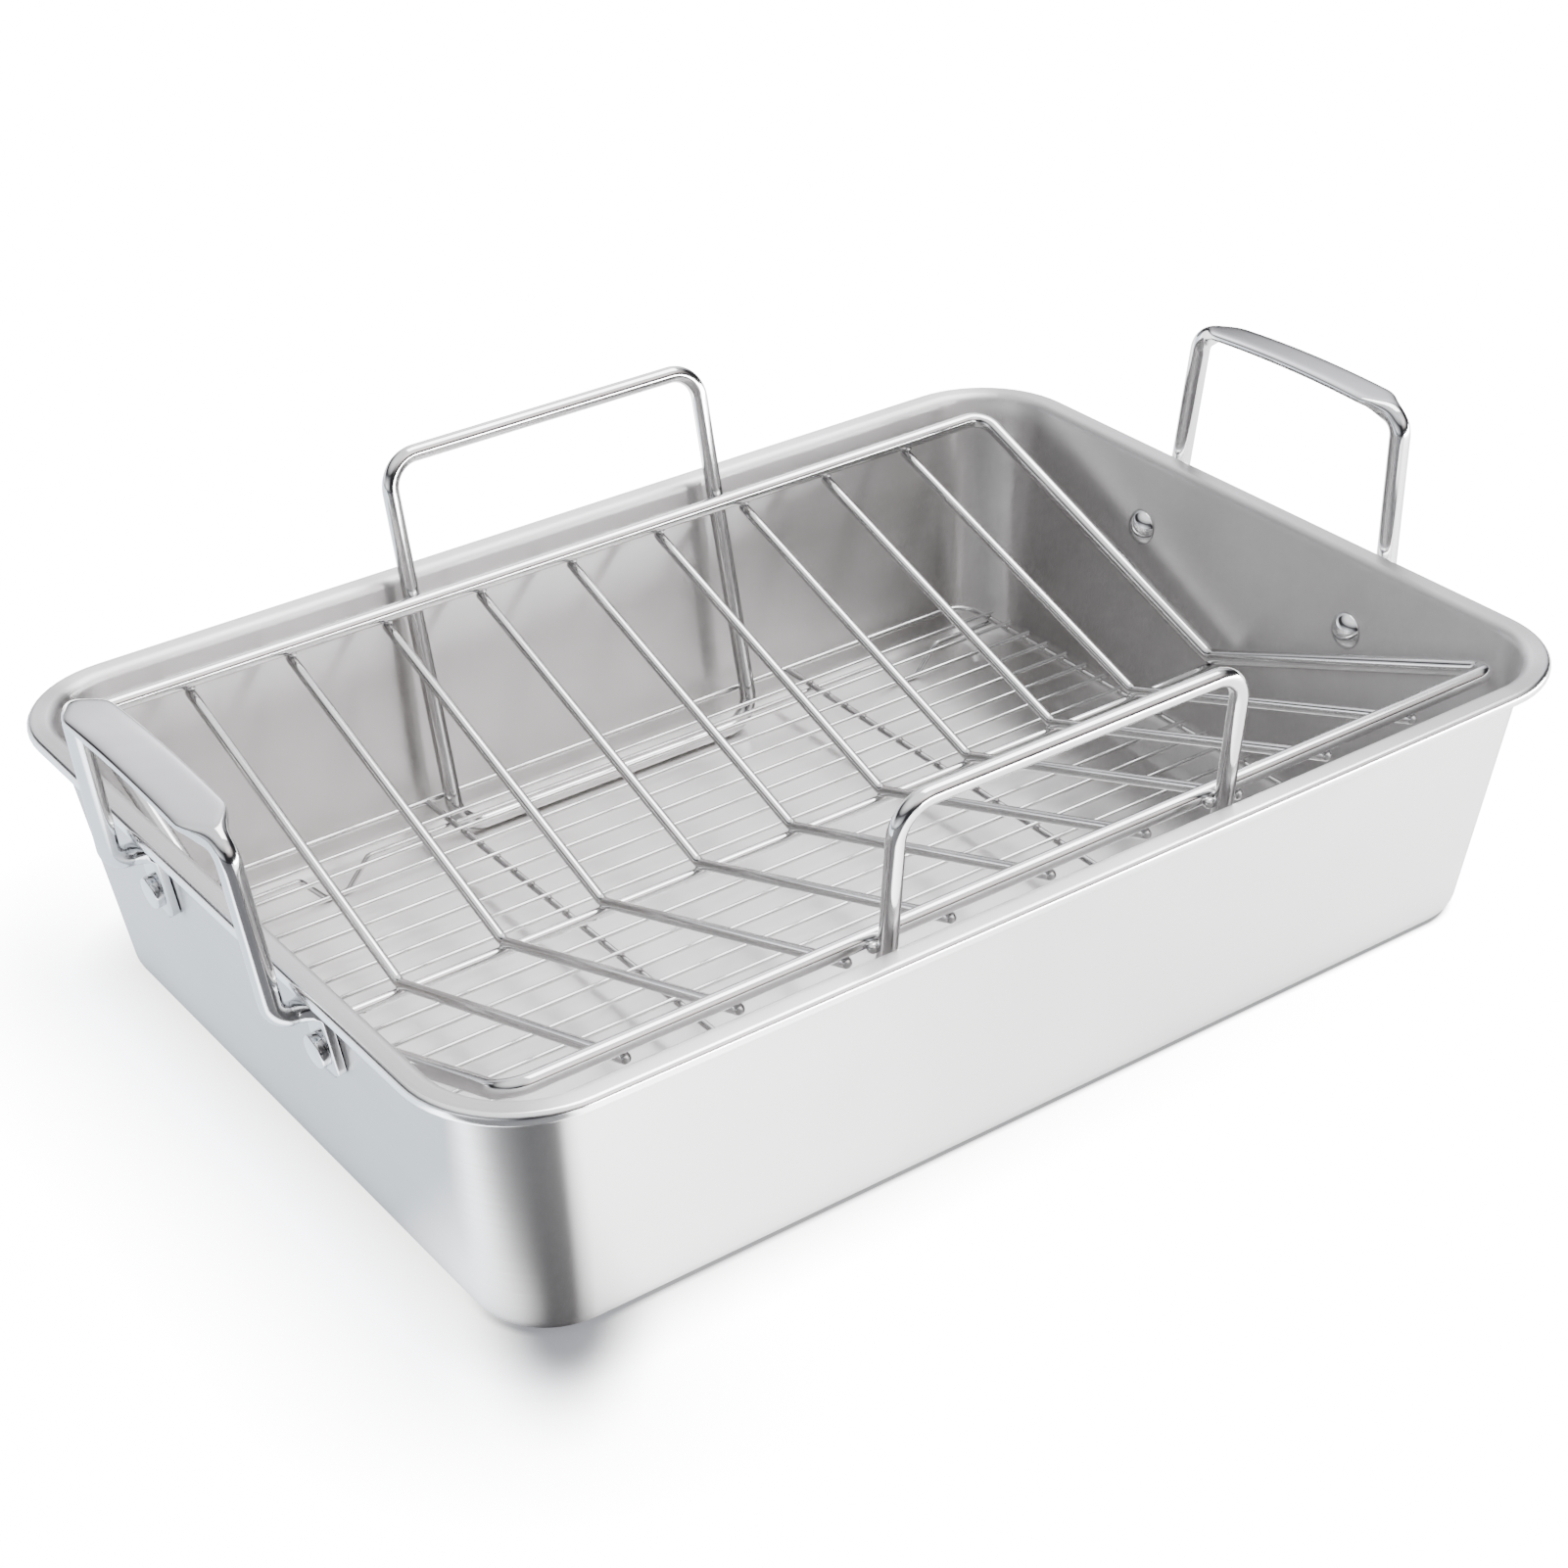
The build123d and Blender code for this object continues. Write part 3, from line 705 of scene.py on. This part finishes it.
def buildVRack():
    size = vRack
    ribLow = size["ribLow"]
    fall = size["railZ"] - ribLow
    touch = size["railWire"] / 2 + size["ribWire"] / 2 + size["gap"]
    slope = math.tan(math.acos(touch / math.hypot(fall, size["railY"])) - math.atan2(size["railY"], fall))
    ribSeat = ribLow + size["ribBend"] * (math.hypot(1, slope) - 1)
    spineZ = ribSeat - size["ribWire"] - size["gap"]
    endSeat = spineZ + size["ribWire"] / 2 + size["railWire"] / 2 + size["gap"]
    endSlope = math.atan((size["railZ"] - endSeat) / size["railY"])
    endLow = endSeat - size["railBend"] * (1 / math.cos(endSlope) - 1)
    middle = size["shift"]
    x = size["halfLength"]
    y = size["railY"]
    corners = [(middle + x, -y, size["railZ"]), (middle + x, 0, endLow), (middle + x, y, size["railZ"]),
               (middle - x, y, size["railZ"]), (middle - x, 0, endLow), (middle - x, -y, size["railZ"])]
    path = bendPath(corners, size["railBend"], size["railArc"], closed=True)
    path = splitRuns(path, size["railRun"], closed=True)
    frameWire = wire("rackFrame", path, size["railWire"], polishedWire, size["railSides"], closed=True)
    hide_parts("rack_frame")

    ends = [Vector((middle + way * (x + size["spineEnd"]), 0, spineZ)) for way in (-1, 1)]
    spine = wire("rackSpine", splitRuns(ends, size["railRun"]), size["ribWire"], polishedWire)
    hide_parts("rack_spine")

    ribEnd = y + size["overrun"]
    ribHigh = ribLow + ribEnd * slope
    corners = [(0, -ribEnd, ribHigh), (0, 0, ribLow), (0, ribEnd, ribHigh)]
    path = splitRuns(bendPath(corners, size["ribBend"], size["ribArc"]), size["ribRun"])
    rib = wire("ribPattern", path, size["ribWire"], polishedWire, size["ribSides"], ends="ball")
    span = size["pitch"] * (size["ribs"] - 1)
    ribs = layOut(rib, "rackRibs", polishedWire, size["ribs"], (size["pitch"], 0, 0),
                  start=(middle - span / 2, 0, 0), jitter=size["ribSlip"], seed=size["ribSeed"])
    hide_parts(*["rack_rib_" + str(i + 1) for i in range(size["ribs"])])

    lean = math.radians(size["loopLean"])
    loopLow = pan["sheet"] + size["floorGap"] + size["loopWire"] / 2
    atRail = y + (size["railWire"] / 2 + size["loopWire"] / 2 + size["gap"]) / math.cos(lean)
    foot = atRail - (size["railZ"] - loopLow) * math.tan(lean)
    half = size["loopHalf"]
    pieces = [frameWire, spine, ribs]
    loops = ((-1, "nearLoop", "rack_loop_near"), (1, "farLoop", "rack_loop_far"))
    for (side, name, node), headLean in zip(loops, size["headLeans"]):
        head = atRail + (size["loopTop"] - size["railZ"]) * math.tan(math.radians(headLean))
        rise = ((foot, loopLow), (atRail, size["railZ"]), (head, size["loopTop"]))
        skew = side * size["loopSkew"]
        corners = [(skew + half, side * py, pz) for py, pz in rise]
        corners += [(skew - half, side * py, pz) for py, pz in reversed(rise)]
        path = bendPath(corners, size["loopBend"], size["railArc"], closed=True)
        path = splitRuns(path, size["loopRun"], closed=True)
        loop = wire(name, path, size["loopWire"], polishedWire, size["railSides"], closed=True)
        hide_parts(node)
        pieces.append(loop)

    # weld beads: loops to rails, ribs to rails, ribs to spine
    pitch = (size["pitch"], 0, 0)
    first = middle - span / 2
    railSide = size["railWire"] / 2
    for side, end in ((-1, "Near"), (1, "Far")):
        start = (side * size["loopSkew"] - half - welds["loopAside"],
                 side * (y + railSide + welds["loopOut"]), size["railZ"] - welds["loopDown"])
        pieces.append(weldRow("loop", "loopWelds" + end, polishedWire, 2, (2 * half, 0, 0), start=start))
        start = (first, side * (y - welds["ribIn"]), size["railZ"] - railSide + welds["ribUp"])
        pieces.append(weldRow("rib", "ribWelds" + end, polishedWire, size["ribs"], pitch, start=start))
    start = (first, 0, spineZ + size["ribWire"] / 2)
    pieces.append(weldRow("spine", "spineWelds", polishedWire, size["ribs"], pitch, start=start))
    for piece in pieces:
        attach(piece, "v_rack")


buildVRack()
print("V rack done")


# Flat rack

flatRack = {
    "edgeWire": 2.4, "gridWire": 1.6, "footWire": 2.0, "halfLength": 159.6, "halfWidth": 122.5,
    "corner": 10.0, "shift": 8.0, "pitch": 10.71, "wires": 21, "overhang": 0.5, "crossHalf": 76.25,
    "footY": 107.1, "footDip": 121.0, "mouth": 26.0, "tread": 8.0, "drop": 10.4, "footBend": 2.6,
    "gap": 0.05, "floorGap": 0.3, "gridSlip": (0.25, 0.12, 0), "gridSeed": 4,
    "edgeSides": 16, "edgeArc": 7.5, "edgeRun": 12, "gridSides": 12, "gridRun": 40, "crossRun": 20,
    "footSides": 14, "footArc": 9,
}


def buildFlatRack():
    size = flatRack
    footLow = pan["sheet"] + size["floorGap"] + size["footWire"] / 2
    footHigh = footLow + size["drop"]
    edgeZ = footHigh + size["footWire"] / 2 + size["edgeWire"] / 2 + size["gap"]
    gridZ = edgeZ + size["edgeWire"] / 2 + size["gridWire"] / 2 + size["gap"]
    middle = size["shift"]
    x = size["halfLength"]
    y = size["halfWidth"]
    turns = ((1, -1), (1, 1), (-1, 1), (-1, -1))
    corners = [(middle + alongX * x, alongY * y, edgeZ) for alongX, alongY in turns]
    path = bendPath(corners, size["corner"], size["edgeArc"], closed=True)
    path = splitRuns(path, size["edgeRun"], closed=True)
    edge = wire("flatEdge", path, size["edgeWire"], drawnWire, size["edgeSides"], closed=True)
    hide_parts("flat_edge")

    reach = x + size["edgeWire"] / 2 + size["overhang"]
    path = splitRuns([Vector((-reach, 0, 0)), Vector((reach, 0, 0))], size["gridRun"])
    long = wire("gridPattern", path, size["gridWire"], drawnWire, size["gridSides"])
    span = size["pitch"] * (size["wires"] - 1)
    wires = layOut(long, "flatWires", drawnWire, size["wires"], (0, size["pitch"], 0),
                   start=(middle, -span / 2, gridZ), jitter=size["gridSlip"], seed=size["gridSeed"])
    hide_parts(*["flat_wire_" + str(i + 1).zfill(2) for i in range(size["wires"])])

    crossEnd = y - size["edgeWire"] / 2 - size["gap"]
    path = splitRuns([Vector((0, -crossEnd, 0)), Vector((0, crossEnd, 0))], size["crossRun"])
    bar = wire("crossPattern", path, size["edgeWire"], drawnWire, size["edgeSides"])
    crosses = layOut(bar, "flatCrosses", drawnWire, 2, (2 * size["crossHalf"], 0, 0),
                     start=(middle - size["crossHalf"], 0, edgeZ))
    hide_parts("flat_cross_left", "flat_cross_right")

    pieces = [edge, wires, crosses]
    dip = size["footDip"]
    mouth = size["mouth"] / 2
    tread = size["tread"] / 2
    half = [(dip - mouth, footHigh), (dip - tread, footLow), (dip + tread, footLow), (dip + mouth, footHigh),
            (x + size["edgeWire"] / 2, footHigh)]
    for side, name, node in ((-1, "nearFeet", "flat_foot_near"), (1, "farFeet", "flat_foot_far")):
        footY = side * size["footY"]
        corners = [(middle - px, footY, pz) for px, pz in reversed(half)]
        corners += [(middle + px, footY, pz) for px, pz in half]
        path = splitRuns(bendPath(corners, size["footBend"], size["footArc"]), size["crossRun"])
        feet = wire(name, path, size["footWire"], drawnWire, size["footSides"], firstSide=Vector((0, 1, 0)))
        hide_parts(node)
        pieces.append(feet)

    # spot welds where the grid wires cross the edge and cross wires
    for name, places in (("edgeWelds", x), ("crossWelds", size["crossHalf"])):
        start = (middle - places, -span / 2, edgeZ + size["edgeWire"] / 2)
        pieces.append(weldRow("grid", name, drawnWire, size["wires"], (0, size["pitch"], 0),
                              2, (2 * places, 0, 0), start))
    for piece in pieces:
        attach(piece, "flat_rack")


buildFlatRack()
print("flat rack done")


# Floor, light and camera

studio = {
    "floorHalf": 6.0, "floorTone": (0.14, 0.143, 0.15), "floorShade": 0.985, "floorRoughness": 0.4,
    "ambient": (0.04, 0.04, 0.045), "top": (1.75, 1.77, 1.8), "topFrom": 0.5, "topTo": 0.85,
    "patchSpread": math.pi / 4, "floorCloud": 2.0,
}
# the paper as the camera sees it: its glow, and the painted soft shadows, painted dark line and painted dark
# reflection round the pan's foot
paper = {
    "glow": (16.0, 16.0, 16.0),
    "shadowGlow": (2.4, 2.65, 3.3), "shadowReach": (0.075, 0), "shadowSide": (-0.12, -0.21),
    "contactGlow": (3.4, 3.4, 3.3), "contactReach": (0.022, 0), "contactSide": (0.12, -0.17),
    "seamGlow": (0.3, 0.3, 0.31), "seamReach": (0.0006, -0.0018), "seamSide": (-0.09, -0.12),
    "cornerShadeGlow": (0.3, 0.31, 0.34), "cornerShadeSize": (0.06, 0.031, 1), "cornerShadeShift": 11.0, "cornerShadeTurn": 55.6,
    "cornerShadeReach": (1.0, 0.2), "mirrorReach": (-0.006, 0.009),
}
# softboxes: place, point they face, size and power
softboxes = {
    "overhead": ((0.85, 0.1, 1.95), (0, 0, 0), (1.3, 1.3), 48.0),
    "lowCard": ((0.72, -0.8, 0.11), (0, -0.1, 0.11), (1.5, 0.18), 27.0),
}
# soft patches of the sky: heading in degrees from X, then the height they start, peak and end at, then tone
skyPatches = (
    (190.6, (0.0, 0.12, 0.5), (2.3, 2.4, 2.5)),
    (295.0, (0.3, 0.6, 0.9), (2.75, 2.5, 2.44)),
    (55.6, (0.08, 0.46, 0.85), (4.0, 4.0, 4.2)),
    (124.0, (0.0, 0.12, 0.34), (4.0, 4.1, 4.3)),
)
# painted glow patches on the table top, light and shade that the steel mirrors: where each fades in, along X
# or Y, and its tone
tablePatches = (
    ((("X", -0.168, -0.14),), (3.2, 3.2, 3.2)),
    ((("X", -0.168, -0.14), ("X", 0.06, -0.12)), (3.4, 3.4, 3.4)),
    ((("X", -0.178, -0.19), ("Y", -0.125, -0.10)), (1.9, 2.15, 2.4)),
    ((("X", -0.178, -0.19), ("Y", -0.14, -0.122), ("Y", -0.05, -0.09)), (4.0, 4.1, 4.2)),
)


def product(tree, *shares):
    share = shares[0]
    for other in shares[1:]:
        share = calc(tree, "MULTIPLY", share, other)
    return share


def vectorCalc(tree, operation, first, second):
    node = addNode(tree, "ShaderNodeVectorMath", operation=operation)
    feed(tree, node.inputs[0], first)
    feed(tree, node.inputs["Scale" if operation == "SCALE" else 1], second)
    return node.outputs["Vector"]


def addTone(tree, share, colour, total):
    scaled = vectorCalc(tree, "SCALE", colour, share)
    return vectorCalc(tree, "ADD", scaled, total) if total else scaled


def placeParts(tree, kind):
    # a texture coordinate, whole and split into X, Y and Z
    place = addNode(tree, "ShaderNodeTexCoord").outputs[kind]
    split = addNode(tree, "ShaderNodeSeparateXYZ")
    tree.links.new(place, split.inputs["Vector"])
    return place, split.outputs


def footDistance(tree, parts):
    # how far out from the rounded outline of the pan's foot
    squares = []
    for axis, half in (("X", pan["halfLength"]), ("Y", pan["halfWidth"])):
        straight = half - pan["overhang"] - pan["lean"] - pan["baseCorner"]
        over = calc(tree, "SUBTRACT", calc(tree, "ABSOLUTE", parts[axis]), straight * mm)
        squares.append(calc(tree, "POWER", calc(tree, "MAXIMUM", over, 0.0), 2.0))
    away = calc(tree, "SQRT", calc(tree, "ADD", *squares))
    return calc(tree, "SUBTRACT", away, pan["baseCorner"] * mm)


def paintedCornerShade(tree, place):
    # a painted dark reflection and shade under the near left corner, drawn out towards the camera
    foot = pan["overhang"] + pan["lean"] + pan["baseCorner"] * (1 - math.sqrt(0.5))
    ellipse = addNode(tree, "ShaderNodeMapping", vector_type="TEXTURE")
    ellipse.inputs["Location"].default_value = (
        (foot - pan["halfLength"] + paper["cornerShadeShift"]) * mm, (foot - pan["halfWidth"]) * mm, 0)
    ellipse.inputs["Rotation"].default_value = (0, 0, math.radians(paper["cornerShadeTurn"]))
    ellipse.inputs["Scale"].default_value = paper["cornerShadeSize"]
    tree.links.new(place, ellipse.inputs["Vector"])
    away = addNode(tree, "ShaderNodeVectorMath", operation="LENGTH")
    tree.links.new(ellipse.outputs["Vector"], away.inputs[0])
    return fade(tree, away.outputs["Value"], paper["cornerShadeReach"], kind="SMOOTHSTEP")


def seenGlow(tree, mirrored, seen):
    # the camera sees one glow and the steel mirrors another
    rays = addNode(tree, "ShaderNodeLightPath")
    return mixed(tree, rays.outputs["Is Camera Ray"], mirrored, seen)


def buildFloor():
    material = bpy.data.materials.new("paleFloor")
    material.use_nodes = True
    tree = material.node_tree
    shader = tree.nodes["Principled BSDF"]
    shader.inputs["Roughness"].default_value = studio["floorRoughness"]
    place, parts = placeParts(tree, "Object")
    cloud = addNode(tree, "ShaderNodeTexNoise", Scale=studio["floorCloud"], Detail=2.0)
    tree.links.new(place, cloud.inputs["Vector"])
    dull = [v * studio["floorShade"] for v in studio["floorTone"]]
    tree.links.new(mixed(tree, cloud.outputs["Fac"], dull, studio["floorTone"]), shader.inputs["Base Color"])

    # painted glow patches of the table top, for the steel to mirror
    total = None
    for fades, colour in tablePatches:
        shares = [fade(tree, parts[axis], (start, end)) for axis, start, end in fades]
        total = addTone(tree, product(tree, *shares), colour, total)
    distance = footDistance(tree, parts)
    # the mirrored glow fades out at the pan's foot: painted shade that the low wall mirrors as a dark band
    total = vectorCalc(tree, "SCALE", total, fade(tree, distance, paper["mirrorReach"]))

    seen = paper["glow"]
    # painted shade in the camera's view of the paper: a soft shadow to the left, a contact shade close round
    # the foot fading to the right, and a thin dark line along the near foot
    for name, axis in (("shadow", "X"), ("contact", "X"), ("seam", "Y")):
        share = product(tree, fade(tree, distance, paper[name + "Reach"]),
                        fade(tree, parts[axis], paper[name + "Side"]))
        seen = mixed(tree, share, seen, paper[name + "Glow"])
    # the painted dark reflection and shade under the near left corner
    seen = mixed(tree, paintedCornerShade(tree, place), seen, paper["cornerShadeGlow"])
    tree.links.new(seenGlow(tree, total, seen), shader.inputs["Emission Color"])
    shader.inputs["Emission Strength"].default_value = 1.0

    half = studio["floorHalf"]
    mesh = bpy.data.meshes.new("floor")
    corners = [(-half, -half, 0), (half, -half, 0), (half, half, 0), (-half, half, 0)]
    mesh.from_pydata(corners, [], [(0, 1, 2, 3)])
    mesh.materials.append(material)
    floor = bpy.data.objects.new("floor", mesh)
    bpy.context.scene.collection.objects.link(floor)


def buildWorld():
    world = bpy.data.worlds.new("studioSky")
    bpy.context.scene.world = world
    world.use_nodes = True
    tree = world.node_tree
    parts = placeParts(tree, "Generated")[1]
    height = parts["Z"]
    heading = calc(tree, "ARCTAN2", parts["Y"], parts["X"])
    total = addTone(tree, fade(tree, height, (studio["topFrom"], studio["topTo"])), studio["top"], None)
    for side, (low, peak, high), colour in skyPatches:
        turn = calc(tree, "SUBTRACT", heading, math.radians(side))
        away = calc(tree, "ABSOLUTE", calc(tree, "WRAP", turn, math.pi, -math.pi))
        share = product(tree, fade(tree, away, (studio["patchSpread"], 0)), fade(tree, height, (low, peak)),
                        fade(tree, height, (high, peak)))
        total = addTone(tree, share, colour, total)
    total = vectorCalc(tree, "ADD", total, studio["ambient"])
    # past the paper's far edge the picture stays as pale as the paper
    tree.links.new(seenGlow(tree, total, paper["glow"]), tree.nodes["Background"].inputs["Color"])


def addSoftbox(name, place, target, size, power):
    light = bpy.data.lights.new(name, "AREA")
    light.shape = "RECTANGLE"
    light.size = size[0]
    light.size_y = size[1]
    light.energy = power
    lamp = bpy.data.objects.new(name, light)
    lamp.location = place
    lamp.rotation_euler = (Vector(target) - Vector(place)).to_track_quat("-Z", "Y").to_euler()
    bpy.context.scene.collection.objects.link(lamp)


# the camera fitted to the photo: angles in degrees, distance in metres, lens and centre in pixels
view = {
    "azimuth": -34.4, "elevation": 30.79, "roll": -2.1, "distance": 1.0021,
    "target": (0.00058, 0.01771, 0.040), "focalPixels": 3132.4, "imagePixels": 1601,
    "centreX": 780.0, "centreY": 813.9, "sensor": 36.0,
}


def buildCamera():
    a = math.radians(view["azimuth"])
    e = math.radians(view["elevation"])
    r = math.radians(view["roll"])
    back = Vector((math.sin(a) * math.cos(e), -math.cos(a) * math.cos(e), math.sin(e)))
    right = Vector((math.cos(a), math.sin(a), 0))
    up = back.cross(right)
    turnedRight = right * math.cos(r) + up * math.sin(r)
    turnedUp = up * math.cos(r) - right * math.sin(r)
    data = bpy.data.cameras.new("photoCamera")
    data.sensor_width = view["sensor"]
    data.lens = view["focalPixels"] * data.sensor_width / view["imagePixels"]
    data.shift_x = 0.5 - view["centreX"] / view["imagePixels"]
    data.shift_y = view["centreY"] / view["imagePixels"] - 0.5
    camera = bpy.data.objects.new("photoCamera", data)
    turn = Matrix((turnedRight, turnedUp, back)).transposed().to_4x4()
    turn.translation = Vector(view["target"]) + back * view["distance"]
    camera.matrix_world = turn
    bpy.context.scene.collection.objects.link(camera)
    bpy.context.scene.camera = camera


buildFloor()
buildWorld()
for boxName, boxValues in softboxes.items():
    addSoftbox(boxName, *boxValues)
buildCamera()
print("studio done")
